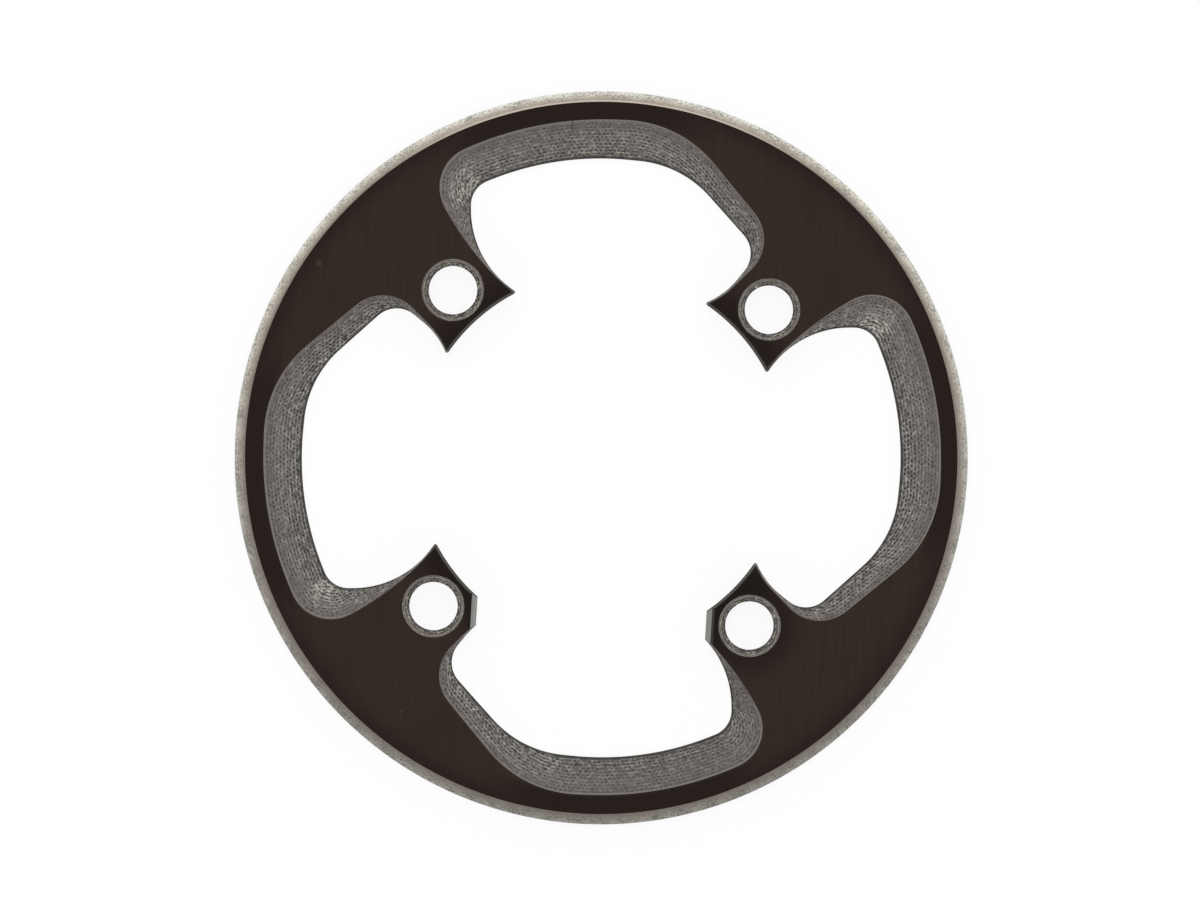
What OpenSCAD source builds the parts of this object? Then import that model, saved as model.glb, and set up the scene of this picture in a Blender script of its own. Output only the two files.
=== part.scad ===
// Chainring guard: a flat ring that bolts to a four-arm crank spider in place of the
// outer chainring. One piece, machined from a flat plate of fabric laminate.
// It lies on its back: the bevelled face is up, and the origin is at the centre of the
// bolt circle, on the plate's back. The crank arm runs along -Y.

/* [Plate] */
// Outside diameter of the rim
rim_d = 154; // [148:1:200]
// Thickness of the plate
plate_t = 4; // [3.2:0.1:6]
// Width of the rim's bevel, seen from the front
rim_bevel_w = 2.2; // [0.5:0.1:3]
// Height of the straight edge left under the rim's bevel
rim_land_t = 1.2; // [0.6:0.1:2]
// How far the rim's bevel swells out of the straight line between its two edges
rim_swell = 0.2; // [0.05:0.05:0.4]
// Break on the rim's edge at the back
back_break = 0.3; // [0.1:0.1:0.5]

/* [Bolts] */
// Diameter of the bolt circle
bolt_circle_d = 94; // [90:0.5:114]
// Diameter of a bolt's bore
bore_d = 10.2; // [8:0.1:12.4]
// Width of the countersink round the bore
sink_w = 1.45; // [0.5:0.05:1.7]
// Depth of the countersink
sink_depth = 0.8; // [0.3:0.1:2]

/* [Middle opening] */
// From a bolt's centre in to the round edge of the middle opening
boss_in = 7.95; // [7.5:0.05:9]
// How far the round edge leans back between the land and the face
inner_lean = 0.4; // [0.1:0.1:0.8]
// From a bolt's centre to the blunted tip of each of its boss's two points
boss_point = 13.1; // [12:0.1:15]

/* [Crank arm flats] */
// From a bolt's centre to the flat beside the crank arm
boss_flat = 9.1; // [7.6:0.1:11]
// Height of the straight edge under the flat's bevel
flat_land_t = 1.2; // [0.6:0.1:2]
// Width of the flat's outer bevel
flat_low_w = 1.15; // [0.5:0.05:1.3]
// Height of the line where the outer bevel meets the steeper inner one
flat_line_t = 2.7; // [2.2:0.1:3]
// Width of the steeper inner bevel
flat_high_w = 0.4; // [0.2:0.1:0.7]

/* [Windows] */
// Height of the straight edge left under the windows' bevel
land_t = 0.8; // [0.3:0.1:2]
// From the rim in to the window's through cut, on the window's centre line
cut_inset = 14; // [12:0.1:16]
// From the rim in to the top of the window's bevel, on the same line
top_inset = 5.8; // [4:0.1:8]
// Corner radius of the through cut at the window's wide end
cut_wide_r = 5.4; // [2:0.1:8]
// Corner radius of the bevel's top at the wide end
top_wide_r = 8.9; // [4:0.1:12]
// Corner radius of the through cut at the window's slanted end
cut_slant_r = 5.8; // [2:0.1:7]
// Corner radius of the bevel's top at the slanted end
top_slant_r = 8.8; // [4:0.1:10]

/* [Hidden] */

$fn = 96;

// Straight steps in each rounded corner of a window
corner_steps = 12;
// Straight steps up a window's bevel
bevel_steps = 4;
// Straight steps across the rim's bevel
rim_steps = 6;
// The hair of straight edge at the top of a window's bevel, where it meets the face
lip_t = 0.02;
// How far a cut runs on past the surface that it opens
over = 1;
// Length and width of the block that blunts a boss's point
blunt_l = 6;
blunt_w = 4;
// How far the crank arm's slot runs from the bolts' line, towards the middle and outwards
slot_in = 4.6;
slot_out = 9;
// The bolts sit a quarter turn apart, with a window between each two
quarters = [0 : 90 : 270];

rim_r = rim_d / 2;
bolt_r = bolt_circle_d / 2;
bolt_off = bolt_r / sqrt(2);
inner_r = bolt_r - boss_in;
bevel_t = plate_t - land_t - lip_t;
flat_x = bolt_off - boss_flat;

// A place at a bearing counter-clockwise from the window's centre line
function from_rim(bearing, inset) = (rim_r - inset) * [-sin(bearing), cos(bearing)];
// A place beside the bolt at the window's wide end, and beside the one at its slanted end
function by_wide_bolt(right, up) = [-bolt_off + right, bolt_off + up];
function by_slant_bolt(left, up) = [bolt_off - left, bolt_off + up];

// The window over the +Y side, as corners with their radii. The first and last corners
// lie inside the middle opening, so they are sharp.
cut_corners = [
    [by_wide_bolt(22.2, -3.2), 0],
    [by_wide_bolt(3.5, 4.2), 20.4],
    [from_rim(29.3, cut_inset), cut_wide_r],
    [from_rim(12, cut_inset - 1.9), 61.7],
    [from_rim(-11.8, cut_inset - 0.8), 22.6],
    [by_slant_bolt(2.7, 11.9), cut_slant_r],
    [by_slant_bolt(9.5, 2.5), 16.5],
    [by_slant_bolt(21.4, -3.2), 0]
];
top_corners = [
    [by_wide_bolt(18.9, -5.2), 0],
    [by_wide_bolt(3, 8), 71.8],
    [from_rim(35.3, top_inset - 0.5), top_wide_r],
    [from_rim(14.4, top_inset - 1.8), 71],
    [from_rim(-9.6, top_inset - 1.3), 25.2],
    [by_slant_bolt(-1.2, 14.1), top_slant_r],
    [by_slant_bolt(9.5, 2.4), 16.6],
    [by_slant_bolt(21.5, -5.2), 0]
];

function unit(v) = v / norm(v);

// Half the angle inside corner i of a list of corners
function half_angle(corners, i) =
    let (here = corners[i][0])
    acos(unit(corners[i - 1][0] - here) * unit(corners[i + 1][0] - here)) / 2;

// How much of the edge on each side corner i's arc takes up
function arc_reach(corners, i) =
    corners[i][1] == 0 ? 0 : corners[i][1] / tan(half_angle(corners, i));

// The share of the arcs at both ends of edge i that the edge has room for
function edge_share(corners, i) =
    let (wanted = arc_reach(corners, i) + arc_reach(corners, i + 1))
    wanted == 0 ? 1 : min(1, norm(corners[i + 1][0] - corners[i][0]) / wanted);

// The arc at corner i, from the edge before it to the edge after it. Its radius gives
// way where an edge is too short for it.
function corner_arc(corners, i) =
    let (
        here = corners[i][0],
        before = unit(corners[i - 1][0] - here),
        after = unit(corners[i + 1][0] - here),
        half = half_angle(corners, i),
        r = corners[i][1] * min(edge_share(corners, i - 1), edge_share(corners, i)),
        middle = here + unit(before + after) * r / sin(half),
        sweep = 180 - 2 * half,
        first = here + before * r / tan(half) - middle
    )
    [for (k = [0 : corner_steps])
        let (a = -sweep * k / corner_steps)
        middle + [first.x * cos(a) - first.y * sin(a), first.x * sin(a) + first.y * cos(a)]];

// The closed outline through a list of corners, clockwise seen from above
function outline(corners) = [
    corners[0][0],
    for (i = [1 : len(corners) - 2]) each corner_arc(corners, i),
    corners[len(corners) - 1][0]
];

function raise(points, z) = [for (p = points) [p.x, p.y, z]];

// What is cut away for one window: straight up to the land, then opening out along
// straight lines from the through cut to the bevel's top, and straight on past the face
module window_cut() {
    cut = outline(cut_corners);
    top = outline(top_corners);
    rings = [
        raise(cut, -over),
        for (k = [0 : bevel_steps])
            let (f = k / bevel_steps)
            raise(cut * (1 - f) + top * f, land_t + bevel_t * f),
        raise(top, plate_t + over)
    ];
    n = len(cut);
    points = [for (ring = rings) each ring];
    sides = [
        for (level = [0 : len(rings) - 2], i = [0 : n - 1])
            let (a = level * n + i, b = level * n + (i + 1) % n)
            each [[a, b, a + n], [b, b + n, a + n]]
    ];
    floor_face = [for (i = [n - 1 : -1 : 0]) i];
    lid_face = [for (i = [0 : n - 1]) (len(rings) - 1) * n + i];
    polyhedron(points, concat([floor_face, lid_face], sides), convexity = 4);
}

// The rim's section: back break, straight edge, then a bevel that swells slightly
module rim_blank() {
    low = [rim_r, rim_land_t];
    high = [rim_r - rim_bevel_w, plate_t];
    outward = unit([high.y - low.y, low.x - high.x]);
    bevel = [
        for (k = [0 : rim_steps])
            let (f = k / rim_steps)
            low * (1 - f) + high * f + outward * rim_swell * 4 * f * (1 - f)
    ];
    section = concat(
        [[0, 0], [rim_r - back_break, 0], [rim_r, back_break]],
        bevel,
        [[0, plate_t]]
    );
    rotate_extrude()
        intersection() {
            polygon(section);
            square([rim_r, plate_t]);
        }
}

// The middle opening, with its round edge leaning back above the land
module middle_cut() {
    lean_past = inner_lean * (bevel_t + over) / bevel_t;
    translate([0, 0, -over])
        cylinder(r = inner_r, h = plate_t + 2 * over);
    translate([0, 0, land_t])
        cylinder(r1 = inner_r, r2 = inner_r + lean_past, h = bevel_t + over);
}

// The blunt ends of the two points of the boss round the bolt at [bolt_off, bolt_off]
module point_cut() {
    near = bolt_off - boss_point - blunt_l;
    beside = bolt_off - blunt_w / 2;
    tall = plate_t + 2 * over;
    translate([near, beside, -over])
        cube([blunt_l, blunt_w, tall]);
    translate([beside, near, -over])
        cube([blunt_w, blunt_l, tall]);
}

// One bolt's bore with its countersink
module bolt_cut() {
    sink_past = sink_w * (sink_depth + over) / sink_depth;
    translate([0, 0, -over])
        cylinder(d = bore_d, h = plate_t + 2 * over);
    translate([0, 0, plate_t - sink_depth])
        cylinder(d1 = bore_d, d2 = bore_d + 2 * sink_past, h = sink_depth + over);
}

// The slot that clears the crank arm, with a bevel along both of its flats
module crank_arm_cut() {
    high_slope = flat_high_w / (plate_t - flat_line_t);
    half_section = [
        [flat_x, -over],
        [flat_x, flat_land_t],
        [flat_x + flat_low_w, flat_line_t],
        [flat_x + flat_low_w + high_slope * (plate_t + over - flat_line_t), plate_t + over]
    ];
    mirrored = [for (i = [len(half_section) - 1 : -1 : 0]) [-half_section[i].x, half_section[i].y]];
    translate([0, -bolt_off + slot_in, 0])
        rotate([90, 0, 0])
            linear_extrude(height = slot_in + slot_out)
                polygon(concat(half_section, mirrored));
}

module guard_plate() {
    color("#2c2522")
        difference() {
            rim_blank();
            middle_cut();
            for (a = quarters) {
                rotate(a) {
                    window_cut();
                    point_cut();
                    translate([bolt_off, bolt_off, 0])
                        bolt_cut();
                }
            }
            crank_arm_cut();
        }
}

guard_plate();
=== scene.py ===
import math

import bpy
import numpy as np
from bpy.props import FloatProperty, FloatVectorProperty, PointerProperty
from bpy.types import Operator, Panel, PropertyGroup
from mathutils.geometry import tessellate_polygon
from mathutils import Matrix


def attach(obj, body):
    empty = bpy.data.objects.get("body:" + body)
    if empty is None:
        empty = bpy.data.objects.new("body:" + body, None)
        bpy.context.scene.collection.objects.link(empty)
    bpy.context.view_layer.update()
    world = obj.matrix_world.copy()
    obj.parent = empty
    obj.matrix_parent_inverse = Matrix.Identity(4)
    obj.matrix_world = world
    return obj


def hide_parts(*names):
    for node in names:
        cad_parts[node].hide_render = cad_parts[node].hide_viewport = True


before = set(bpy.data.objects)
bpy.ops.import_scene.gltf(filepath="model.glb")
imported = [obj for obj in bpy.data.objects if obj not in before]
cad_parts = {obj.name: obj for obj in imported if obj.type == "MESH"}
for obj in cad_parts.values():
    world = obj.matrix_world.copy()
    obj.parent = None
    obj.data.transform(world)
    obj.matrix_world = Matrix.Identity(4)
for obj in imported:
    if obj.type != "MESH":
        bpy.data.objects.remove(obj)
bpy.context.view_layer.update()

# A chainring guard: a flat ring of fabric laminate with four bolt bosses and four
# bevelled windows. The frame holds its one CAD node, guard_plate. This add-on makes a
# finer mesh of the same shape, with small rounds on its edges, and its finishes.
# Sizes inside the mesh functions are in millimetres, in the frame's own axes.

bl_info = {
    "name": "Chainring guard",
    "version": (1, 0, 0),
    "blender": (4, 5, 0),
    "location": "View3D > Sidebar > Guard",
    "description": "Builds a bevelled chainring guard of woven laminate and a pale stage for it",
    "category": "Object",
}

MM = 0.001

# How far the guard is turned clockwise in the picture
TURN = math.radians(3.54)

# Finishes, in the order of the piece's material slots
FACE, CUT, RIM, FLAT, SINK, NOSE = range(6)


def length(name, text, default, low=0.0, high=1.0):
    """A size in metres, shown in the user's own unit"""
    return FloatProperty(
        name=name, description=text, default=default, min=low, max=high,
        unit="LENGTH", precision=5,
    )


def colour(name, text, default):
    """A colour, as the light that it gives back"""
    return FloatVectorProperty(
        name=name, description=text, default=default, min=0.0, max=1.0,
        subtype="COLOR", size=3,
    )


def srgb(red, green, blue):
    """Linear light for a colour read on a screen from 0 to 255"""
    def one(value):
        value /= 255
        return value / 12.92 if value <= 0.04045 else ((value + 0.055) / 1.055) ** 2.4
    return one(red), one(green), one(blue)


class GuardSizes(PropertyGroup):
    """Sizes of the guard"""

    rim_d: length("Rim diameter", "Outside diameter of the rim", 0.154)
    plate_t: length("Thickness", "Thickness of the plate", 0.004)
    rim_bevel_w: length("Rim bevel", "Width of the rim's bevel, seen from the front", 0.0022)
    rim_land_t: length("Rim land", "Height of the straight edge under the rim's bevel", 0.0012)
    rim_swell: length("Rim swell", "How far the rim's bevel swells outward", 0.0002)
    back_break: length("Back break", "Break on the rim's edge at the back", 0.0003)
    bolt_circle_d: length("Bolt circle", "Diameter of the bolt circle", 0.094)
    bore_d: length("Bore", "Diameter of a bolt's bore", 0.0102)
    sink_w: length("Countersink width", "Width of the countersink round the bore", 0.00145)
    sink_depth: length("Countersink depth", "Depth of the countersink", 0.0008)
    boss_in: length("Boss depth", "From a bolt in to the middle opening's round edge", 0.00795)
    inner_lean: length("Opening lean", "How far the round edge leans back", 0.0004)
    tip_r: length("Point radius", "Rounding of the points of a boss", 0.0004)
    boss_flat: length("Flat", "From a bolt to the flat beside the crank arm", 0.0091)
    flat_land_t: length("Flat land", "Height of the straight edge under the flat's bevel", 0.0012)
    flat_low_w: length("Outer flat bevel", "Width of the flat's outer bevel", 0.00115)
    flat_line_t: length("Flat line", "Height where the flat's two bevels meet", 0.0027)
    flat_high_w: length("Inner flat bevel", "Width of the flat's inner bevel", 0.0004)
    land_t: length("Window land", "Height of the straight edge under a window's bevel", 0.0008)
    cut_inset: length("Cut inset", "From the rim in to a window's through cut", 0.014)
    top_inset: length("Bevel inset", "From the rim in to the top of a window's bevel", 0.0058)
    edge_round: length("Edge round", "Reach of the small round on the edges", 0.0001)
    through_round: length("Through round", "Reach of the round on a window's through edge", 0.0002)


class GuardFinish(PropertyGroup):
    """Colours and weave of the guard"""

    face: colour("Face", "Ground face of the laminate", srgb(38, 28, 23))
    face_hair: colour("Face hairlines", "Lighter hairlines on the ground face", srgb(50, 40, 34))
    # The darker face also serves as the painted shade on the bosses and round one bolt
    face_dark: colour("Face, darker", "Ground face on the bosses and by the rim", srgb(19, 11, 6))
    smudge: colour("Marks", "Small light marks on the ground face", srgb(66, 56, 50))
    ply_dark: colour("Cut fibres", "Tows that a bevel cuts across", srgb(46, 43, 40))
    ply_mid: colour("Ply", "Mean colour of a cut ply", srgb(108, 103, 99))
    ply_light: colour("Laid fibres", "Tows that run along a bevel", srgb(186, 180, 172))
    ply_deep: colour("Upper plies", "Tone that the plies take on near the face", srgb(80, 75, 71))
    first_ply: colour("First ply", "The resin-rich ply next to the face", srgb(118, 112, 107))
    sink: colour("Countersink", "Inner side of the countersinks", srgb(92, 88, 83))
    sink_ring: colour("Countersink ring", "Outer side of the countersinks", srgb(132, 124, 118))
    land: colour("Through edge", "Straight edges under the bevels", srgb(46, 48, 48))
    nose: colour("Boss edge", "Round edges of the bosses", srgb(74, 72, 67))
    # The rim's colours come as a lit copy with painted light, for the side up in the picture, and a
    # copy with painted shade, for the side by the crank arm
    rim_outer: colour("Rim, outer", "Outer side of the rim's bevel", srgb(209, 206, 196))
    rim_inner: colour("Rim, inner", "Inner side of the rim's bevel", srgb(156, 145, 132))
    rim_shade_outer: colour("Rim, darker outer", "The same, near the crank arm", srgb(142, 139, 133))
    rim_shade_inner: colour("Rim, darker inner", "The same, near the crank arm", srgb(125, 117, 108))
    rim_line: colour("Rim line", "Thin line where the rim's bevel meets the face", srgb(190, 176, 164))
    flat_light: colour("Flat", "Milled flats beside the crank arm", srgb(152, 150, 146))
    flat_dark: colour("Flat lines", "Fine lines on the milled flats", srgb(118, 116, 113))
    flat_steep: colour("Steep flat", "Steep part of the flat on the far side", srgb(52, 48, 44))
    ply_t: length("Ply", "Thickness of one ply", 0.004 / 15)
    tow_w: length("Tow", "Width of one tow of the fabric", 0.0005)


class GuardStage(PropertyGroup):
    """Floor, light and camera"""

    floor: colour("Floor", "Colour of the floor", (0.94, 0.94, 0.94))
    shadow: FloatProperty(
        name="Shadow", description="Share of the lit floor that the camera sees", default=0.1,
        min=0.0, max=1.0, subtype="FACTOR",
    )
    world: FloatProperty(
        name="Surrounding light", description="Strength of the light from all around",
        default=0.92, min=0.0, max=5.0,
    )
    key: FloatProperty(
        name="Key light", description="Power of the soft light over the far side, in watts",
        default=4.0, min=0.0, max=500.0,
    )
    camera_height: length("Camera height", "Height of the camera over the face", 1.4, 0.2, 5.0)
    view_w: length("View width", "Width of the picture at the face", 0.2516)
    turned: FloatProperty(
        name="Turn", description="How far the guard is turned clockwise in the picture",
        default=TURN, subtype="ANGLE",
    )


# Outlines in the plate's plane


def unit(v):
    """The vector's direction, at length 1"""
    return v / np.linalg.norm(v)


class Plan:
    """The plate's outlines in millimetres, as loops seen from above"""

    # The curves round the joined opening, clockwise: each one's finish and its points
    WINDOW, ROUND, SHORT_ROUND, STRAIGHT = (CUT, 170), (NOSE, 28), (NOSE, 20), (FLAT, 9)
    ORDER = [
        WINDOW, ROUND, WINDOW, SHORT_ROUND, STRAIGHT,
        WINDOW, STRAIGHT, SHORT_ROUND, WINDOW, ROUND,
    ]
    # Points within each corner between them, and steps in a window's rounded corner
    CORNER, ARC_STEPS = 5, 24
    # The corners where the crank arm's flats meet the other edges
    FLAT_CORNER_R = 0.12
    # Half the reach of a boss's round edge, and the points that it is drawn with
    ROUND_HALF, ROUND_POINTS = math.radians(24), 97

    def __init__(self, s):
        for key in GuardSizes.__annotations__:
            setattr(self, key, getattr(s, key) / MM)
        self.rim_r = self.rim_d / 2
        bolt_r = self.bolt_circle_d / 2
        self.bolt_off = bolt_r / math.sqrt(2)
        self.inner_r = bolt_r - self.boss_in
        # The corners of a window's through cut and of the top of its bevel, each with the
        # radius of its round
        self.cut = self.outline([
            (self.by_wide_bolt(22.2, -3.2), 0),
            (self.by_wide_bolt(3.5, 4.2), 20.4),
            (self.from_rim(29.3, self.cut_inset), 5.4),
            (self.from_rim(12, self.cut_inset - 1.9), 61.7),
            (self.from_rim(-11.8, self.cut_inset - 0.8), 22.6),
            (self.by_slant_bolt(2.7, 11.9), 5.8),
            (self.by_slant_bolt(9.5, 2.5), 16.5),
            (self.by_slant_bolt(21.4, -3.2), 0),
        ])
        self.top = self.outline([
            (self.by_wide_bolt(18.9, -5.2), 0),
            (self.by_wide_bolt(3, 8), 71.8),
            (self.from_rim(35.3, self.top_inset - 0.5), 8.9),
            (self.from_rim(14.4, self.top_inset - 1.8), 71),
            (self.from_rim(-9.6, self.top_inset - 1.3), 25.2),
            (self.by_slant_bolt(-1.2, 14.1), 8.8),
            (self.by_slant_bolt(9.5, 2.4), 16.6),
            (self.by_slant_bolt(21.5, -5.2), 0),
        ])

    def from_rim(self, bearing, inset):
        """A place at a bearing counter-clockwise from the window's centre line"""
        a = math.radians(bearing)
        return (self.rim_r - inset) * np.array([-math.sin(a), math.cos(a)])

    def by_wide_bolt(self, right, up):
        """A place right of and above the bolt at the window's wide end"""
        return np.array([-self.bolt_off + right, self.bolt_off + up])

    def by_slant_bolt(self, left, up):
        """A place left of and above the bolt at the window's slanted end"""
        return np.array([self.bolt_off - left, self.bolt_off + up])

    def outline(self, corners):
        """The edge of the window over the +Y side, clockwise, with its corners rounded"""
        places = [np.asarray(place, float) for place, _ in corners]
        radii = [radius for _, radius in corners]
        last = len(corners) - 1

        def half(i):
            before, after = unit(places[i - 1] - places[i]), unit(places[i + 1] - places[i])
            return math.acos(float(before @ after)) / 2

        def reach(i):
            return radii[i] / math.tan(half(i)) if radii[i] else 0.0

        def share(i):
            wanted = reach(i) + reach(i + 1)
            return min(1.0, np.linalg.norm(places[i + 1] - places[i]) / wanted) if wanted else 1.0

        points = [places[0]]
        for i in range(1, last):
            r = radii[i] * min(share(i - 1), share(i))
            before, after = unit(places[i - 1] - places[i]), unit(places[i + 1] - places[i])
            middle = places[i] + unit(before + after) * r / math.sin(half(i))
            first = places[i] + before * r / math.tan(half(i)) - middle
            for k in range(self.ARC_STEPS + 1):
                a = -(math.pi - 2 * half(i)) * k / self.ARC_STEPS
                turn = np.array([[math.cos(a), -math.sin(a)], [math.sin(a), math.cos(a)]])
                points.append(middle + turn @ first)
        points.append(places[last])
        return np.array(points)

    def opening(self, z):
        """The edge of the joined opening at a height, clockwise, always as many points"""
        rise = min(1.0, max(0.0, (z - self.land_t) / (self.plate_t - self.land_t)))
        window = self.cut * (1 - rise) + self.top * rise
        radius = self.inner_r + self.inner_lean * rise
        flat = self.bolt_off - self.boss_flat + float(np.interp(
            z,
            [self.flat_land_t, self.flat_line_t, self.plate_t],
            [0, self.flat_low_w, self.flat_low_w + self.flat_high_w],
        ))

        def boss_edge(quarter):
            middle = math.pi / 4 + quarter * math.pi / 2
            a = np.linspace(middle - self.ROUND_HALF, middle + self.ROUND_HALF, self.ROUND_POINTS)
            return radius * np.stack([np.sin(a), np.cos(a)], 1)

        # A flat's line runs a little past the curves that it meets
        side = np.array([[flat, -self.bolt_off + 4.6], [flat, -self.bolt_off - 9]])
        curves = [
            window, boss_edge(0), quarter_turn(window, 1), boss_edge(1), side,
            quarter_turn(window, 2), side[::-1] * [-1, 1], boss_edge(2),
            quarter_turn(window, 3), boss_edge(3),
        ]
        # The corner that follows each curve, by its radius. Points sharpen towards the face.
        small, tip = self.FLAT_CORNER_R, self.tip_r * (1 - 0.65 * rise)
        radii = [tip] * 3 + [small] * 4 + [tip] * 3
        return joined(curves, [count for _, count in self.ORDER], radii, self.CORNER)

    def opening_finishes(self):
        """The finish from each point of opening() to the next"""
        finishes = []
        for finish, count in self.ORDER:
            finishes += [finish] * (count - 1) + [CUT] * (self.CORNER + 1)
        return finishes


def quarter_turn(points, quarters):
    """Points turned clockwise about the middle"""
    for _ in range(quarters % 4):
        points = np.stack([points[:, 1], -points[:, 0]], 1)
    return points


def run_of(points):
    """The distance along a line of points, from its start to each point"""
    steps = np.linalg.norm(np.diff(points, axis=0), axis=1)
    return np.concatenate([[0.0], np.cumsum(steps)])


def along(points, distances):
    """The places at some distances along a line of points"""
    run = run_of(points)
    return np.stack([np.interp(distances, run, points[:, k]) for k in (0, 1)], 1)


def crossing(a, b):
    """Where line a last crosses line b, as a distance along each"""
    p, r = a[:-1, None], np.diff(a, axis=0)[:, None]
    q, s = b[None, :-1], np.diff(b, axis=0)[None]
    cross = r[..., 0] * s[..., 1] - r[..., 1] * s[..., 0]
    d = q - p
    with np.errstate(divide="ignore", invalid="ignore"):
        t = (d[..., 0] * s[..., 1] - d[..., 1] * s[..., 0]) / cross
        u = (d[..., 0] * r[..., 1] - d[..., 1] * r[..., 0]) / cross
    hits = np.argwhere((t >= 0) & (t <= 1) & (u >= 0) & (u <= 1))
    if not len(hits):
        raise RuntimeError("two edges of the opening don't meet")
    i, j = hits[-1]
    run_a, run_b = run_of(a), run_of(b)
    return (
        run_a[i] + t[i, j] * (run_a[i + 1] - run_a[i]),
        run_b[j] + u[i, j] * (run_b[j + 1] - run_b[j]),
    )


def joined(curves, counts, radii, corner_points):
    """One closed loop through curves that cross, each cut at its crossings and rounded there"""
    n = len(curves)
    start, end = [0.0] * n, [0.0] * n
    for i in range(n):
        end[i], start[(i + 1) % n] = crossing(curves[i], curves[(i + 1) % n])
    # Each crossing's place, and how much its round takes off both curves
    corners = []
    for i in range(n):
        here, after = curves[i], curves[(i + 1) % n]
        place = along(here, [end[i]])[0]
        back = unit(along(here, [end[i] - 1.0])[0] - place)
        on = unit(along(after, [start[(i + 1) % n] + 1.0])[0] - place)
        half = math.acos(max(-1.0, min(1.0, float(back @ on)))) / 2
        trim = radii[i] / math.tan(half)
        corners.append((place, trim))
    loop, trimmed = [], []
    for i, (points, count) in enumerate(zip(curves, counts)):
        low = start[i] + corners[i - 1][1]
        high = end[i] - corners[i][1]
        trimmed.append(along(points, np.linspace(low, high, count)))
    for i in range(n):
        loop.append(trimmed[i])
        a, c, b = trimmed[i][-1], corners[i][0], trimmed[(i + 1) % n][0]
        loop.append(corner_round(a, c, b, corner_points))
    return np.concatenate(loop)


def corner_round(a, c, b, count):
    """Points within the circular round from a to b at corner c"""
    half = math.acos(float(unit(a - c) @ unit(b - c))) / 2
    weight = math.sin(half)
    t = np.arange(1, count + 1)[:, None] / (count + 1)
    parts = (1 - t) ** 2, 2 * weight * t * (1 - t), t ** 2
    return (parts[0] * a + parts[1] * c + parts[2] * b) / sum(parts)


def into_material(loop):
    """For each point of a clockwise loop, the direction away from the opening"""
    ahead = np.roll(loop, -1, 0) - np.roll(loop, 1, 0)
    ahead /= np.linalg.norm(ahead, axis=1)[:, None]
    return np.stack([-ahead[:, 1], ahead[:, 0]], 1)


def raised(loop, z):
    """The points of a loop, at a height"""
    return np.column_stack([loop, np.full(len(loop), float(z))])


def rounded(below, edge, above, reach, steps):
    """Rings that round an edge ring, from reach below it to reach above it"""
    def leg(to):
        away = to - edge
        return away / np.linalg.norm(away, axis=1)[:, None] * reach
    down, up = leg(below), leg(above)
    t = np.linspace(0, 1, steps + 1)
    return [edge + down * (1 - k) ** 2 + up * k ** 2 for k in t]


# The mesh


class Skin:
    """Collects rings of points, the quads between them and each quad's finish"""

    def __init__(self):
        self.points, self.faces, self.finish, self.sharp = [], [], [], []

    def ring(self, points):
        """Adds a ring's points, and gives their numbers"""
        first = len(self.points)
        self.points.extend(map(tuple, points))
        return list(range(first, len(self.points)))

    def strip(self, low, high, finishes):
        """Quads between two closed rings, facing away from the material"""
        n = len(low)
        for i in range(n):
            j = (i + 1) % n
            self.faces.append((low[i], low[j], high[j], high[i]))
        self.finish += [finishes] * n if isinstance(finishes, int) else finishes

    def wall(self, rings, finishes):
        """Strips through a stack of rings, each with one finish or one for each quad"""
        made = [self.ring(r) for r in rings]
        for low, high, finish in zip(made, made[1:], finishes):
            self.strip(low, high, finish)
        return made

    def fill(self, outer, holes, up):
        """A flat face between an outer ring and the rings of its holes"""
        rings = [outer, *holes]
        lines = [[self.points[i] for i in ring] for ring in rings]
        index = [i for ring in rings for i in ring]
        flat = np.array([self.points[i][:2] for i in index])
        for a, b, c in tessellate_polygon(lines):
            pa, pb, pc = flat[a], flat[b], flat[c]
            turn = (pb[0] - pa[0]) * (pc[1] - pa[1]) - (pb[1] - pa[1]) * (pc[0] - pa[0])
            # A triangle without area is left out
            if abs(turn) < 1e-12:
                continue
            if (turn > 0) != up:
                b, c = c, b
            self.faces.append((index[a], index[b], index[c]))
            self.finish.append(FACE)

    def mesh(self, name):
        data = bpy.data.meshes.new(name)
        data.from_pydata([tuple(v * MM for v in p) for p in self.points], [], self.faces)
        data.polygons.foreach_set("material_index", self.finish)
        data.polygons.foreach_set("use_smooth", [True] * len(data.polygons))
        sharp = {frozenset(pair) for pair in self.sharp}
        marks = data.attributes.new("sharp_edge", "BOOLEAN", "EDGE")
        marks.data.foreach_set("value", [frozenset(e.vertices) in sharp for e in data.edges])
        data.update()
        return data


# Width of the ring of the flat faces that keeps their shading flat
SUPPORT = 0.1
# Points round the rim and round a bolt's bore
RIM_POINTS, BORE_POINTS = 360, 96


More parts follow.
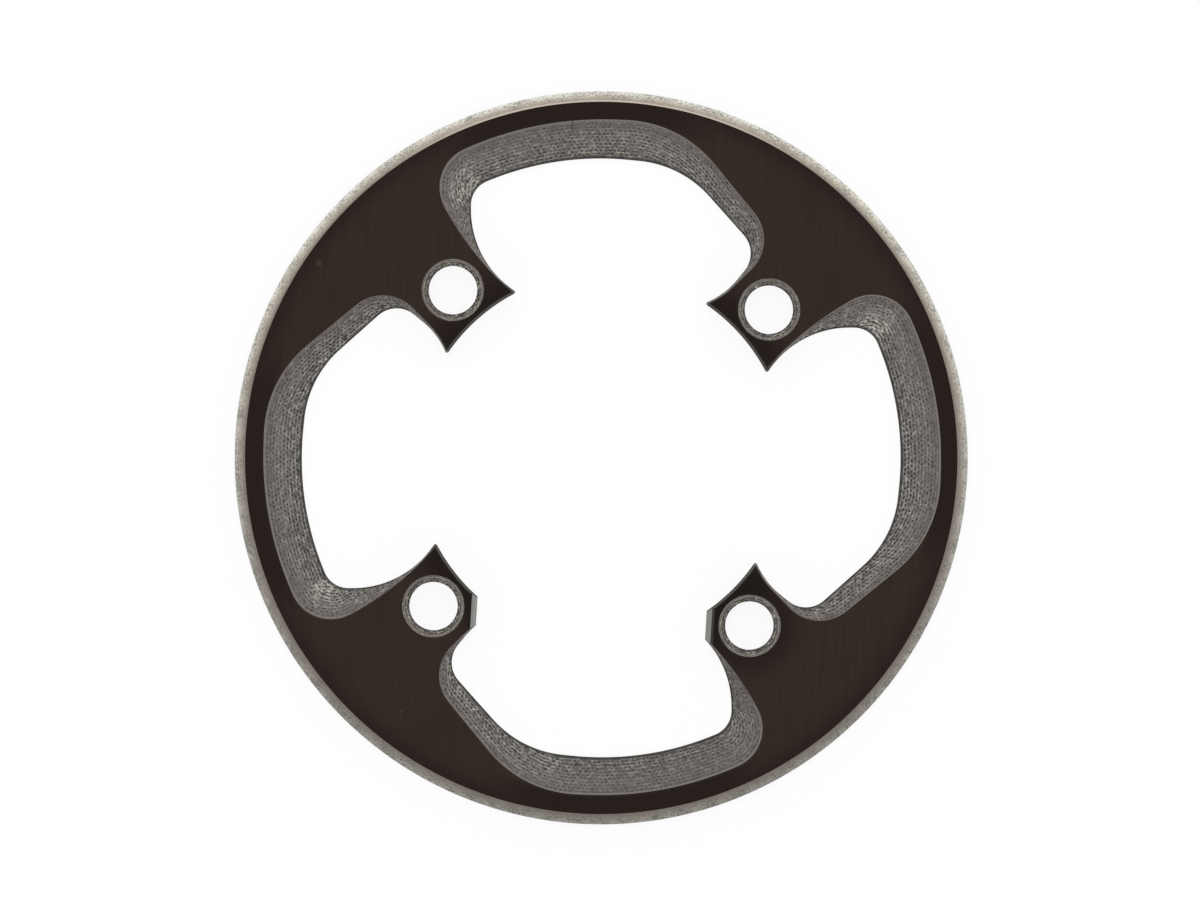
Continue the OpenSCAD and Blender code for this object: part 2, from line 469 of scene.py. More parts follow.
def opening_wall(skin, plan):
    """The wall of the joined opening, from the back face to the front"""
    reach, wide_reach = plan.edge_round, plan.through_round
    through, top = plan.land_t, plan.plate_t
    # How far from an edge the wall is taken to find which way the edge's round leads
    near = 0.15

    def ring(z, push=0.0):
        loop = plan.opening(min(max(z, 0.0), top))
        return raised(loop + into_material(loop) * push, z)

    rings = [ring(0, reach + SUPPORT)]
    rings += rounded(ring(0, 1), ring(0), ring(near), reach, 4)
    rings += rounded(ring(through - near), ring(through), ring(through + near), wide_reach, 6)
    # The first of these keeps the shading of the through edge's round off the bevel
    heights = [
        through + 0.1, plan.flat_land_t, 1.5, 1.8, 2.1, 2.4, plan.flat_line_t, 3.0, 3.3, 3.6,
        top - near,
    ]
    rings += [ring(z) for z in heights]
    rings += rounded(ring(top - near), ring(top), ring(top, 1), reach, 5)
    rings.append(ring(top, reach + SUPPORT))
    around = plan.opening_finishes()
    made = skin.wall(rings, [FACE] + [around] * (len(rings) - 3) + [FACE])
    # The lines along a flat, where its bevels meet, stay sharp
    for z in (plan.flat_land_t, plan.flat_line_t):
        line = next(r for r in made if skin.points[r[0]][2] == z)
        skin.sharp += [(line[i], line[i + 1]) for i, finish in enumerate(around) if finish == FLAT]
    return made[0], made[-1]


def turned_rings(profile, count, centre=(0.0, 0.0)):
    """Rings of a turned shape, counter-clockwise, from (radius, height) pairs"""
    a = np.linspace(0, 2 * math.pi, count, endpoint=False)
    circle = np.stack([np.cos(a), np.sin(a)], 1)
    return [raised(circle * r + centre, z) for r, z in profile]


def softened(profile, reach, steps):
    """A line of (radius, height) pairs, with the corners between its ends rounded"""
    line = [np.array(profile[0], float)]
    for before, here, after in zip(profile, profile[1:], profile[2:]):
        before, here, after = (np.array(p, float) for p in (before, here, after))
        down = unit(before - here) * min(reach, np.linalg.norm(before - here) / 2)
        up = unit(after - here) * min(reach, np.linalg.norm(after - here) / 2)
        # A corner that is nearly straight stays as it is
        if float(unit(down) @ unit(up)) < -0.985:
            line.append(here)
            continue
        for k in np.linspace(0, 1, steps + 1):
            line.append(here + down * (1 - k) ** 2 + up * k ** 2)
    line.append(np.array(profile[-1], float))
    return line


def rim_wall(skin, plan):
    """The rim, from the back face to the front"""
    low = np.array([plan.rim_r, plan.rim_land_t])
    high = np.array([plan.rim_r - plan.rim_bevel_w, plan.plate_t])
    outward = unit(np.array([high[1] - low[1], low[0] - high[0]]))
    bevel = [
        low * (1 - f) + high * f + outward * plan.rim_swell * 4 * f * (1 - f)
        for f in np.linspace(0, 1, 9)
    ]
    # The swell stays within the rim's diameter
    bevel = [np.array([min(p[0], plan.rim_r), p[1]]) for p in bevel]
    profile = [
        (plan.rim_r - plan.back_break - plan.edge_round - SUPPORT, 0),
        (plan.rim_r - plan.back_break, 0),
        (plan.rim_r, plan.back_break),
        *bevel,
        (high[0] - plan.edge_round - SUPPORT, plan.plate_t),
    ]
    line = softened(profile, plan.edge_round, 4)
    # The finish changes within the small round under the bevel
    finishes = []
    for a, b in zip(line, line[1:]):
        z = (a[1] + b[1]) / 2
        if 0.0 < z < plan.plate_t:
            finishes.append(RIM if z > plan.rim_land_t - 0.02 else CUT)
        else:
            finishes.append(FACE)
    made = skin.wall(turned_rings(line, RIM_POINTS), finishes)
    return made[0], made[-1]


def bolt_wall(skin, plan, centre):
    """One bolt's bore and countersink. It is stacked from the front down, so that its
    strips face the bore."""
    r, top = plan.bore_d / 2, plan.plate_t
    profile = [
        (r + plan.sink_w + plan.edge_round + SUPPORT, top),
        (r + plan.sink_w, top),
        (r, top - plan.sink_depth),
        (r, 0),
        (r + plan.edge_round + SUPPORT, 0),
    ]
    line = softened(profile, plan.edge_round, 4)
    # The face's finish runs on over the uppermost part of the small round
    finishes = [
        FACE if a[1] == b[1] == 0 or b[1] > top - 0.03 else SINK for a, b in zip(line, line[1:])
    ]
    made = skin.wall(turned_rings(line, BORE_POINTS, centre), finishes)
    return made[-1], made[0]


def guard_mesh(sizes):
    """The whole plate as one closed mesh"""
    plan, skin = Plan(sizes), Skin()
    off = plan.bolt_off
    bolts = (off, off), (-off, off), (-off, -off), (off, -off)
    walls = [rim_wall(skin, plan), opening_wall(skin, plan)]
    walls += [bolt_wall(skin, plan, centre) for centre in bolts]
    backs, fronts = zip(*walls)
    skin.fill(fronts[0], fronts[1:], True)
    skin.fill(backs[0], backs[1:], False)
    return skin.mesh("guard_skin")


# Finishes

# Directions from the guard's middle: up in the picture, the side by the crank arm, and the
# side where the face's skin reaches least far down the bevels
UP, BY_ARM, LEAST_SKIN = (-0.062, 0.998), (0.317, -0.948), (0.729, 0.686)
# The middles of two narrow strips of face outside the windows. The other two are opposite.
STRIPS = (-0.139, 0.99), (0.99, 0.139)
# The axes across which the four sets of tows lie
DIAGONAL = math.sqrt(0.5)
TOW_AXES = (1.0, 0.0), (0.0, 1.0), (DIAGONAL, DIAGONAL), (DIAGONAL, -DIAGONAL)

# The heights in the finishes are for a face at this height, in millimetres
FACE_Z = 4.0
# How far the middle of a window's bevel runs inward for each unit that it falls
BEVEL_RUN = 2.56

BOLT_RIGHT_OF_ARM = (33.2, -33.2)
DARK_MARK, DARK_MARK_REACH = (-10.3, 69.1), (0.4, 1.8)
# Each light mark's place, the radii between which it fades out, and its strength
LIGHT_MARKS = ((-61.5, 37.1), 0.2, 0.9, 0.7), ((-38.6, -55.7), 0.1, 0.35, 1.0)


class Wiring:
    """Adds nodes to one material and links them. Its place is the place on the guard in
    millimetres, a vector, and x, y and z are that vector's parts."""

    def __init__(self, name):
        self.material = bpy.data.materials.new(name)
        self.material.use_nodes = True
        self.tree = self.material.node_tree
        self.tree.nodes.clear()
        metres = self.node("ShaderNodeTexCoord").outputs["Object"]
        scaled = self.node("ShaderNodeVectorMath", {0: metres, "Scale": 1 / MM}, operation="SCALE")
        self.place = scaled.outputs[0]
        self.x, self.y, self.z = self.parts(self.place)

    def put(self, socket, value):
        """Links an input to another node's output, or sets it to a value"""
        if isinstance(value, bpy.types.NodeSocket):
            self.tree.links.new(value, socket)
        elif hasattr(value, "__len__"):
            value = tuple(value)
            size = len(socket.default_value)
            socket.default_value = value + (1.0,) * (size - len(value))
        else:
            socket.default_value = value

    def node(self, kind, inputs=None, **settings):
        """A new node, with its inputs linked or set"""
        made = self.tree.nodes.new(kind)
        for key, value in settings.items():
            setattr(made, key, value)
        for key, value in (inputs or {}).items():
            self.put(made.inputs[key], value)
        return made

    def calc(self, operation, *values, clamp=False):
        """One step of arithmetic on numbers or sockets"""
        made = self.node("ShaderNodeMath", operation=operation, use_clamp=clamp)
        for socket, value in zip(made.inputs, values):
            self.put(socket, value)
        return made.outputs[0]

    def times(self, a, b):
        return self.calc("MULTIPLY", a, b)

    def off_middle(self, count):
        """How far a count is from the middle between two whole numbers, up to 0.5"""
        return self.calc("ABSOLUTE", self.calc("SUBTRACT", self.calc("FRACT", count), 0.5))

    def parts(self, vector):
        return tuple(self.node("ShaderNodeSeparateXYZ", {0: vector}).outputs)

    def vector_of(self, x, y, z=0.0):
        return self.node("ShaderNodeCombineXYZ", {0: x, 1: y, 2: z}).outputs[0]

    def vector(self, operation, *values, out="Vector"):
        made = self.node("ShaderNodeVectorMath", dict(enumerate(values)), operation=operation)
        return made.outputs[out]

    def level(self, x, y):
        """The direction of x and y, as a level vector of length 1"""
        return self.vector("NORMALIZE", self.vector_of(x, y))

    def mapped(self, vector, scale, turned=0.0):
        """A vector scaled along each axis, then turned about z"""
        inputs = {"Vector": vector, "Rotation": (0.0, 0.0, turned), "Scale": scale}
        return self.node("ShaderNodeMapping", inputs).outputs[0]

    def smooth(self, value, low, high, to_low=0.0, to_high=1.0):
        """A smooth step from to_low, up to the low value, to to_high, from the high one on"""
        made = self.node(
            "ShaderNodeMapRange",
            {"Value": value, "From Min": low, "From Max": high, "To Min": to_low, "To Max": to_high},
            interpolation_type="SMOOTHSTEP",
        )
        return made.outputs[0]

    def blend(self, factor, a, b, kind="MIX"):
        """Colour a where the factor is 0, and with colour b laid over it where that is 1"""
        made = self.node("ShaderNodeMix", data_type="RGBA", blend_type=kind)
        self.put(made.inputs[0], factor)
        self.put(made.inputs[6], a)
        self.put(made.inputs[7], b)
        return made.outputs[2]

    def noise(self, vector, scale, detail=2.0, roughness=0.5):
        made = self.node(
            "ShaderNodeTexNoise",
            {"Vector": vector, "Scale": scale, "Detail": detail, "Roughness": roughness},
        )
        return made.outputs[0]

    def ramp(self, value, low, middle, high):
        """Three colours, for 0, 0.5 and 1"""
        made = self.node("ShaderNodeValToRGB", {0: value})
        marks = made.color_ramp.elements
        marks.new(0.5)
        for mark, place, shade in zip(marks, (0.0, 0.5, 1.0), (low, middle, high)):
            mark.position = place
            mark.color = (*shade, 1.0)
        return made.outputs[0]

    def finish(self, shade, roughness, height, bump, specular):
        """The finished material. The bump is the height of its relief, in metres."""
        bumped = self.node("ShaderNodeBump", {"Height": height, "Strength": 1.0, "Distance": bump})
        shader = self.node("ShaderNodeBsdfPrincipled", {
            "Base Color": shade,
            "Roughness": roughness,
            "Specular IOR Level": specular,
            "Normal": bumped.outputs[0],
        })
        self.node("ShaderNodeOutputMaterial", {"Surface": shader.outputs[0]})
        return self.material


def normal_parts(w):
    """The three parts of the surface's direction"""
    return w.parts(w.node("ShaderNodeNewGeometry").outputs["Normal"])


def distance(w, centre=(0.0, 0.0), reach=(1.0, 1.0)):
    """How far a place is from a centre, in units of the reach along x and along y"""
    x = w.calc("DIVIDE", w.calc("SUBTRACT", w.x, centre[0]), reach[0])
    y = w.calc("DIVIDE", w.calc("SUBTRACT", w.y, centre[1]), reach[1])
    return w.calc("SQRT", w.calc("MULTIPLY_ADD", x, x, w.times(y, y)))


def facing(w, direction):
    """1 where a place lies in a direction from the middle, 0 beside that, -1 opposite"""
    return w.vector("DOT_PRODUCT", w.level(w.x, w.y), (*direction, 0.0), out="Value")


def beside(w):
    """1 in the two windows at the sides, 0 in the other two"""
    return w.smooth(w.calc("ABSOLUTE", facing(w, (1.0, 0.0))), 0.6, 0.8)


def dark_mark(w):
    """The dark mark that runs from the face over the top window's bevel"""
    return w.smooth(distance(w, DARK_MARK, DARK_MARK_REACH), 0.4, 1.1, 0.55, 0.0)


def tow_ends(w, f, axis, level_normal, ply, shift):
    """The ends of one set of tows, laid across an axis, where the edge runs along that axis.
    Each tow's end is darkest in its middle, and how dark it gets is up to chance."""
    run = w.calc("MULTIPLY_ADD", w.x, axis[0], w.times(w.y, axis[1]))
    count = w.calc("MULTIPLY_ADD", run, MM / (2 * f.tow_w), shift)
    tow = w.vector_of(w.calc("FLOOR", count), ply)
    odds = w.node("ShaderNodeTexWhiteNoise", {"Vector": tow}).outputs["Value"]
    middle = w.smooth(w.off_middle(count), 0.04, 0.28, 1.0, 0.0)
    dark = w.times(middle, w.calc("MULTIPLY_ADD", odds, 1.2, 0.2))
    # The edge runs along the axis where its own normal lies across it
    lined_up = w.vector("DOT_PRODUCT", level_normal, (-axis[1], axis[0], 0.0), out="Value")
    return w.times(dark, w.smooth(w.times(lined_up, lined_up), 0.75, 0.96))


def even_height(w, n):
    """The height, stretched so that the rows on a bevel lie as far apart, seen from above,
    where it is steep as they do on the middle of a window's bevel"""
    level_square = w.calc("MULTIPLY_ADD", n[2], w.times(n[2], -1.0), 1.0)
    level_part = w.calc("SQRT", w.calc("MAXIMUM", level_square, 1e-4))
    stretch = w.calc("DIVIDE", w.calc("DIVIDE", n[2], level_part), BEVEL_RUN)
    stretch = w.calc("MINIMUM", w.calc("MAXIMUM", stretch, 0.35), 1.4)
    return w.calc("MULTIPLY_ADD", w.calc("SUBTRACT", w.z, FACE_Z), stretch, FACE_Z)


def painted_glint_share(w, turn):
    """How much painted glint, a painted highlight, a place has: most in the wide end of each window,
    low down and away from the crank arm. Turn is the sine of the angle from the place's direction
    to that of its normal."""
    glint = w.smooth(turn, -0.4, 0.0, 1.0, 0.08)
    # In the windows at the sides, it lies a little further round
    further = w.times(w.smooth(turn, -0.25, 0.0, 1.0, 0.0), w.smooth(turn, -0.75, -0.35, 0.45, 1.0))
    glint = w.calc("MULTIPLY_ADD", w.calc("SUBTRACT", further, glint), beside(w), glint)
    glint = w.times(glint, w.smooth(distance(w), 58.0, 64.0, 0.12, 1.0))
    glint = w.times(glint, w.smooth(w.z, 1.8, 3.4, 1.0, 0.3))
    return w.times(glint, w.smooth(facing(w, BY_ARM), 0.88, 0.98, 1.0, 0.35))


def woven_plies(w, f, n, even=False):
    """How light the cut plies are at each place, about 0, for the parts of its normal.
    The plies are woven of tows along x, along y and along both diagonals. An edge that runs
    along one set cuts the set across it, so each ply shows a row of dark ends."""
    height = even_height(w, n) if even else w.z
    place = w.vector_of(w.x, w.y, height)
    wave = w.calc("MULTIPLY_ADD", w.noise(place, 0.4, 4.0), 0.2, -0.1)
    level = w.calc("DIVIDE", w.calc("ADD", height, wave), f.ply_t / MM)
    ply = w.calc("FLOOR", level)
    off_middle = w.off_middle(level)
    row = w.smooth(off_middle, 0.06, 0.32, 1.0, 0.0)
    # Each ply's tows lie about half a tow along from those of the ply below
    chance = w.node("ShaderNodeTexWhiteNoise", {"W": ply}, noise_dimensions="1D").outputs["Value"]
    shift = w.calc("MULTIPLY_ADD", ply, 0.5, w.times(chance, 0.3))
    wander = w.calc("MULTIPLY_ADD", w.noise(place, 0.25, 4.0), 1.4, -0.7)
    shift = w.calc("ADD", shift, wander)
    level_normal = w.level(n[0], n[1])
    ends = 0.0
    for axis in TOW_AXES:
        ends = w.calc("ADD", tow_ends(w, f, axis, level_normal, ply, shift), ends)
    patch = w.smooth(w.noise(place, 0.45, 3.0), 0.35, 0.6, 0.45, 1.0)
    ends = w.times(w.times(ends, row), patch)
    # Fibres laid along the edge, as streaks that keep their height
    fibres = w.noise(w.mapped(place, (0.8, 0.8, 4.2)), 1.0, 3.0, 0.6)
    streak = w.calc("MULTIPLY_ADD", fibres, 1.7, -0.87)
    thread = w.smooth(off_middle, 0.28, 0.5, -0.07, 0.14)
    streak = w.calc("ADD", streak, w.times(thread, w.calc("ADD", patch, 0.2)))
    grain = w.noise(place, 2.2, 2.0, 0.7)
    streak = w.calc("MULTIPLY_ADD", grain, 1.2, w.calc("ADD", streak, -0.6))
    # Painted glints: light dashes painted in the wide ends, where their corners run across several
    # sets of tows
    short = w.noise(w.mapped(place, (1.2, 1.2, 8.0)), 1.0, 2.0, 0.7)
    spark = w.calc("MULTIPLY_ADD", short, 4.8, -2.15)
    turn = w.parts(w.vector("CROSS_PRODUCT", w.level(w.x, w.y), level_normal))[2]
    glint = painted_glint_share(w, turn)
    ends = w.times(ends, w.calc("MULTIPLY_ADD", glint, -0.2, 1.0))
    streak = w.calc("MULTIPLY_ADD", spark, glint, streak)
    value = w.calc("MULTIPLY_ADD", ends, -1.4, streak)
    # The slanted ends are narrow, and their plies show clearly up to the face
    return w.times(value, w.smooth(turn, 0.05, 0.5, 1.0, 1.3))


def face_tone(w, f):
    """The colour of the ground face, with hairlines along y, and the hairlines themselves"""
    # The noise is turned after it is stretched, which leaves the hairlines along y
    hair = w.noise(w.mapped(w.place, (4.5, 0.05, 1.0), -TURN), 1.0, 3.0, 0.6)
    cloud = w.noise(w.place, 0.06, 3.0)
    amount = w.calc("MULTIPLY_ADD", cloud, 0.5, w.smooth(hair, 0.25, 0.75, 0.0, 0.6), clamp=True)
    shade = w.blend(amount, f.face, f.face_hair)
    # Painted shade darkens the bosses and, further on, the face round the bolt right of the crank arm.
    # The ring by the rim is a little darker too, most in its narrow strips.
    radius = distance(w)
    inner = w.smooth(radius, 40.0, 50.0, 0.75, 0.0)
    outer = w.smooth(radius, 69.5, 76.5, 0.0, 0.7)
    lined_up = [w.calc("ABSOLUTE", facing(w, middle)) for middle in STRIPS]
    strip = w.smooth(w.calc("MAXIMUM", *lined_up), 0.89, 0.97, 0.0, 0.65)
    strip = w.times(strip, w.smooth(radius, 69.0, 71.0))
    shade = w.blend(w.calc("ADD", inner, w.calc("MAXIMUM", outer, strip)), shade, f.face_dark)
    # Painted shade round the bolt right of the crank arm
    bolt_painted_shade = w.smooth(distance(w, BOLT_RIGHT_OF_ARM), 7.0, 13.0, 0.6, 0.0)
    shade = w.blend(bolt_painted_shade, shade, f.face_dark)
    for centre, low, high, strength in LIGHT_MARKS:
        shade = w.blend(w.smooth(distance(w, centre), low, high, strength, 0.0), shade, f.smudge)
    return w.blend(dark_mark(w), shade, f.face_dark), hair


def ground_face(f):
    """The ground face: nearly black, with hairlines along y"""
    w = Wiring("ground_face")
    shade, hair = face_tone(w, f)
    rough = w.calc("MULTIPLY_ADD", hair, 0.12, 0.5)
    return w.finish(shade, rough, hair, 0.000004, specular=0.08)


def cut_plies(f):
    """The machined cuts: grey plies in rows, a plain first ply, and dark straight edges"""
    w = Wiring("cut_plies")
    n = normal_parts(w)
    # The rows are faint next to the face and clear towards the through edge
    clear = w.calc("ADD", w.smooth(w.z, 1.2, 3.7, 0.62, 0.36), w.smooth(w.z, 0.9, 2.0, 0.1, 0.0))
    # In all windows but the top one they are a little clearer at both ends of the bevel
    elsewhere = w.smooth(facing(w, UP), 0.5, 0.85, 1.0, 0.0)
    more = w.calc("ADD", w.smooth(w.z, 1.6, 2.4, 0.15, 0.0), w.smooth(w.z, 2.8, 3.4, 0.0, 0.08))
    clear = w.calc("MULTIPLY_ADD", elsewhere, more, clear)
    middle = w.smooth(w.z, 0.9, 2.0, 0.5, 0.52)
    value = w.calc("MULTIPLY_ADD", woven_plies(w, f, n, even=True), clear, middle, clamp=True)
    shade = w.ramp(value, f.ply_dark, f.ply_mid, f.ply_light)
    # They darken a little towards the face, and by the crank arm
    shade = w.blend(w.smooth(w.z, 2.9, 3.4, 0.0, 0.35), shade, f.ply_deep)
    by_arm = w.smooth(facing(w, BY_ARM), 0.9, 0.97, 0.0, 0.3)
    shade = w.blend(w.times(by_arm, w.smooth(w.z, 2.4, 3.6, 1.0, 0.3)), shade, f.ply_deep)
    # The face's dark skin reaches a little way down the bevels, furthest by the crank arm
    reach = w.calc("MULTIPLY_ADD", facing(w, LEAST_SKIN), -0.0845, 0.116)
    reach = w.calc("MULTIPLY_ADD", beside(w), -0.065, reach)
    rise = w.calc("ADD", w.z, reach)
    shade = w.blend(w.smooth(rise, 3.84, 3.9), shade, f.first_ply)
    shade = w.blend(dark_mark(w), shade, f.ply_dark)
    shade = w.blend(w.smooth(rise, 3.985, 4.015), shade, face_tone(w, f)[0])
    # The narrow bevels by the points of the bosses are dark next to the face
    narrow = w.times(w.smooth(distance(w), 41.0, 44.5, 0.75, 0.0), w.smooth(w.z, 2.4, 3.3))
    shade = w.blend(narrow, shade, f.face_dark)
    shade = w.blend(w.smooth(w.z, 0.92, 1.1, 0.75, 0.0), shade, f.land)
    straight = w.times(w.smooth(n[2], 0.12, 0.5, 0.95, 0.0), w.smooth(w.z, 0.95, 1.3, 1.0, 0.0))
    shade = w.blend(straight, shade, f.land)
    rough = w.calc("MULTIPLY_ADD", straight, 0.25, 0.65)
    return w.finish(shade, rough, value, 0.00001, specular=0.12)


def boss_edge(f):
    """The round edges of the bosses: dark, with their plies faint"""
    w = Wiring("boss_edge")
    plies = woven_plies(w, f, normal_parts(w))
    value = w.calc("MULTIPLY_ADD", plies, 0.3, 0.5, clamp=True)
    shade = w.ramp(value, f.ply_dark, f.nose, f.ply_mid)
    return w.finish(shade, 0.85, value, 0.00001, specular=0.1)


def countersink(f):
    """The countersinks: a light outer ring, and dark dashes round the bore"""
    w = Wiring("countersink")
    n = normal_parts(w)
    value = w.calc("MULTIPLY_ADD", woven_plies(w, f, n), 0.85, 0.52, clamp=True)
    shade = w.ramp(value, f.ply_dark, f.sink, f.ply_light)
    shade = w.blend(w.smooth(w.z, 3.58, 3.72, 0.0, 0.5), shade, f.sink_ring)
    shade = w.blend(w.smooth(n[2], 0.12, 0.5, 0.95, 0.0), shade, f.land)
    return w.finish(shade, 0.65, value, 0.00001, specular=0.12)


def rim_bevel(f):
    """The rim's bevel: pale, paler outward, lit by painted light on the side away from the crank arm
    and darkened by painted shade on the side by it, with a thin line at the face"""
    w = Wiring("rim_bevel")
    inward = w.smooth(w.z, 1.6, 4.0)
    pale = w.blend(inward, f.rim_outer, f.rim_inner)
    painted_shade_copy = w.blend(inward, f.rim_shade_outer, f.rim_shade_inner)
    toward = facing(w, UP)
    # Painted light and shade: the lit copy up in the picture, the shaded copy by the crank arm
    shade = w.blend(w.smooth(toward, -0.75, 0.8), painted_shade_copy, pale)
    grain = w.calc("MULTIPLY_ADD", w.noise(w.place, 2.0, 2.0, 0.7), 4.0, -1.5)
    patch = w.calc("MULTIPLY_ADD", w.noise(w.place, 0.3, 2.0), 1.6, -0.8)
    grain = w.calc("ADD", grain, patch)
    speck = w.calc("MULTIPLY_ADD", woven_plies(w, f, normal_parts(w)), 0.35, grain, clamp=True)
    factor = w.ramp(speck, (0.46, 0.46, 0.45), (1.0, 1.0, 1.0), (1.22, 1.21, 1.19))
    shade = w.blend(w.smooth(w.z, 2.2, 3.6, 1.0, 0.45), shade, factor, "MULTIPLY")
    line = w.times(w.smooth(w.z, 3.72, 3.86), w.smooth(toward, 0.78, 0.97))
    shade = w.blend(line, shade, f.rim_line)
    edge = w.times(w.smooth(w.z, 3.5, 3.95), w.smooth(toward, 0.7, 0.97, 0.55, 0.0))
    shade = w.blend(edge, shade, f.ply_mid)
    return w.finish(shade, 0.55, speck, 0.000008, specular=0.2)


def milled_flat(f):
    """The flats beside the crank arm: pale with fine lines along their edges, and dark
    where they steepen under the face"""
    w = Wiring("milled_flat")
    line = w.noise(w.mapped(w.place, (0.3, 0.12, 7.0)), 1.0, 3.0, 0.6)
    shade = w.blend(w.smooth(line, 0.3, 0.7), f.flat_dark, f.flat_light)
    # The flat at +X is a little darker, and paler where it is steep
    shade = w.blend(w.smooth(w.x, -5.0, 5.0, 0.0, 0.4), shade, f.flat_dark)
    steep = w.blend(w.smooth(w.x, -5.0, 5.0), f.face_dark, f.flat_steep)
    under_face = w.smooth(w.z, 2.62, 2.7)
    shade = w.blend(under_face, shade, steep)
    shade = w.blend(w.smooth(normal_parts(w)[2], 0.05, 0.2, 0.95, 0.0), shade, f.land)
    rough = w.calc("MULTIPLY_ADD", under_face, 0.4, 0.55)
    return w.finish(shade, rough, line, 0.00001, specular=0.15)


# The piece and the stage

# The picture's width, and how far right of and above the guard's middle the camera looks,
# in pixels
PICTURE_W = 1200
AIM = (-1.2, 7.9)


def link(thing):
    """Adds an object to the scene, and gives it back"""
    bpy.context.scene.collection.objects.link(thing)
    return thing


class OBJECT_OT_guard_plate(Operator):
    """Build the guard over its CAD node"""

    bl_idname = "object.guard_plate"
    bl_label = "Guard plate"

    def execute(self, context):
        scene = context.scene
        piece = link(bpy.data.objects.new("guard_skin", guard_mesh(scene.guard_sizes)))
        for make in (ground_face, cut_plies, rim_bevel, milled_flat, countersink, boss_edge):
            piece.data.materials.append(make(scene.guard_finish))
        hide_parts("guard_plate")
        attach(piece, "root")
        return {"FINISHED"}


def shown_ray(tree):
    """1 for rays whose end shows in the picture: from the camera, a gloss or a glass"""
    rays = tree.nodes.new("ShaderNodeLightPath").outputs
    total = rays["Is Camera Ray"]
    for name in ("Is Glossy Ray", "Is Transmission Ray"):
        more = tree.nodes.new("ShaderNodeMath")
        more.operation = "MAXIMUM"
        tree.links.new(total, more.inputs[0])
        tree.links.new(rays[name], more.inputs[1])
        total = more.outputs[0]
    return total


def floor_material(st):
    """A pale floor that shows white with a faint shadow, and lights the object as it is"""
    material = bpy.data.materials.new("pale_floor")
    material.use_nodes = True
    tree = material.node_tree
    tree.nodes.clear()
    add = tree.nodes.new
    matt = add("ShaderNodeBsdfDiffuse")
    matt.inputs["Color"].default_value = (*st.floor, 1.0)
    glow = add("ShaderNodeEmission")
    glow.inputs["Color"].default_value = (1.0, 1.0, 1.0, 1.0)
    share, shown = add("ShaderNodeMixShader"), add("ShaderNodeMixShader")
    share.inputs[0].default_value = st.shadow
    tree.links.new(glow.outputs[0], share.inputs[1])
    tree.links.new(matt.outputs[0], share.inputs[2])
    tree.links.new(shown_ray(tree), shown.inputs[0])
    tree.links.new(matt.outputs[0], shown.inputs[1])
    tree.links.new(share.outputs[0], shown.inputs[2])
    tree.links.new(shown.outputs[0], add("ShaderNodeOutputMaterial").inputs["Surface"])
    return material


def surrounding_light(scene, st):
    """Even light from all around, which shows as plain white"""
    world = bpy.data.worlds.new("studio")
    world.use_nodes = True
    tree = world.node_tree
    tree.nodes.clear()
    add = tree.nodes.new
    dim, white = add("ShaderNodeBackground"), add("ShaderNodeBackground")
    pick = add("ShaderNodeMixShader")
    dim.inputs["Strength"].default_value = st.world
    white.inputs["Strength"].default_value = 1.0
    for back in (dim, white):
        back.inputs["Color"].default_value = (1.0, 1.0, 1.0, 1.0)
    tree.links.new(shown_ray(tree), pick.inputs[0])
    tree.links.new(dim.outputs[0], pick.inputs[1])
    tree.links.new(white.outputs[0], pick.inputs[2])
    tree.links.new(pick.outputs[0], add("ShaderNodeOutputWorld").inputs["Surface"])
    scene.world = world


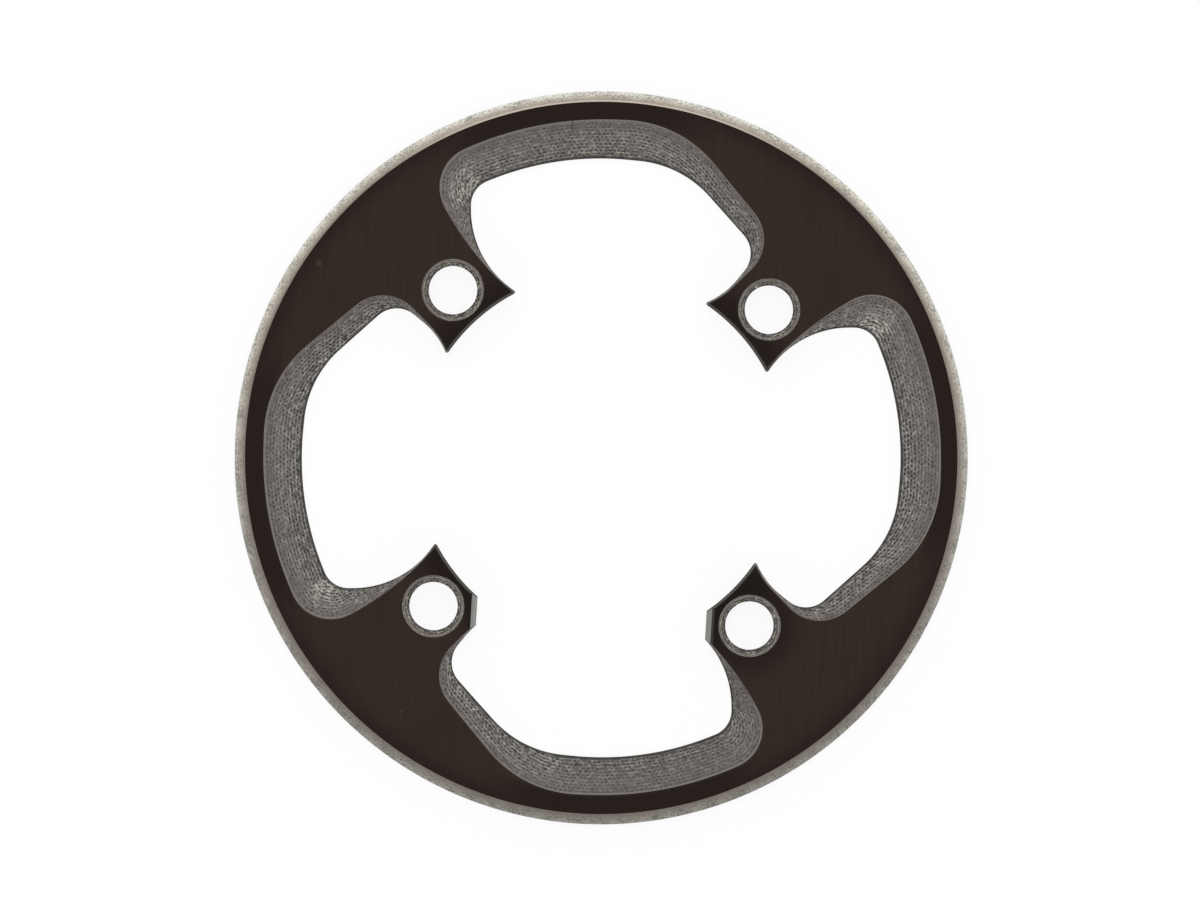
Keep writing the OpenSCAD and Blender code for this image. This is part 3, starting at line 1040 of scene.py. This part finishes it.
class SCENE_OT_guard_stage(Operator):
    """Lay the floor, set the light and place the camera straight over the guard"""

    bl_idname = "scene.guard_stage"
    bl_label = "Stage"

    def execute(self, context):
        scene = context.scene
        st, sizes = scene.guard_stage, scene.guard_sizes
        # The floor reaches 4 m each way, a hair under the guard
        reach, z = 4.0, -0.00005
        data = bpy.data.meshes.new("floor")
        corners = [(-reach, -reach, z), (reach, -reach, z), (reach, reach, z), (-reach, reach, z)]
        data.from_pydata(corners, [], [(0, 1, 2, 3)])
        data.materials.append(floor_material(st))
        link(bpy.data.objects.new("floor", data))
        surrounding_light(scene, st)

        # Up and right in the picture, in the plate's plane
        up = np.array([-math.sin(st.turned), math.cos(st.turned)])
        right = np.array([up[1], -up[0]])
        # The key light lies 1 m up in the picture and 1 m high, and looks down at the guard
        lamp = bpy.data.lights.new("key", "AREA")
        lamp.shape, lamp.size, lamp.energy = "DISK", 0.8, st.key
        key = link(bpy.data.objects.new("key", lamp))
        key.location = (*up, 1.0)
        key.rotation_euler = (math.radians(-45), 0.0, st.turned)

        pixel = st.view_w / PICTURE_W
        aim = right * (AIM[0] * pixel) + up * (AIM[1] * pixel)
        lens = bpy.data.cameras.new("camera")
        lens.sensor_width = 36.0
        lens.lens = lens.sensor_width * st.camera_height / st.view_w
        lens.clip_start, lens.clip_end = 0.05, 20.0
        lens.dof.use_dof = False
        camera = link(bpy.data.objects.new("camera", lens))
        camera.location = (*aim, sizes.plate_t + st.camera_height)
        camera.rotation_euler = (0.0, 0.0, st.turned)
        scene.camera = camera
        scene.view_settings.view_transform = "Standard"
        return {"FINISHED"}


class VIEW3D_PT_guard(Panel):
    """Sizes, finishes and stage of the guard"""

    bl_label = "Chainring guard"
    bl_idname = "VIEW3D_PT_guard"
    bl_space_type = "VIEW_3D"
    bl_region_type = "UI"
    bl_category = "Guard"

    def draw(self, context):
        scene = context.scene
        for title, group, operator in (
            ("Sizes", scene.guard_sizes, "object.guard_plate"),
            ("Finish", scene.guard_finish, None),
            ("Stage", scene.guard_stage, "scene.guard_stage"),
        ):
            box = self.layout.box()
            box.label(text=title)
            for key in type(group).__annotations__:
                box.prop(group, key)
            if operator:
                box.operator(operator)


GROUPS = {"guard_sizes": GuardSizes, "guard_finish": GuardFinish, "guard_stage": GuardStage}
CLASSES = (*GROUPS.values(), OBJECT_OT_guard_plate, SCENE_OT_guard_stage, VIEW3D_PT_guard)


def register():
    for cls in CLASSES:
        bpy.utils.register_class(cls)
    for key, group in GROUPS.items():
        setattr(bpy.types.Scene, key, PointerProperty(type=group))


def unregister():
    for key in GROUPS:
        delattr(bpy.types.Scene, key)
    for cls in reversed(CLASSES):
        bpy.utils.unregister_class(cls)


def main():
    register()
    bpy.ops.object.guard_plate()
    bpy.ops.scene.guard_stage()


if __name__ == "__main__":
    main()
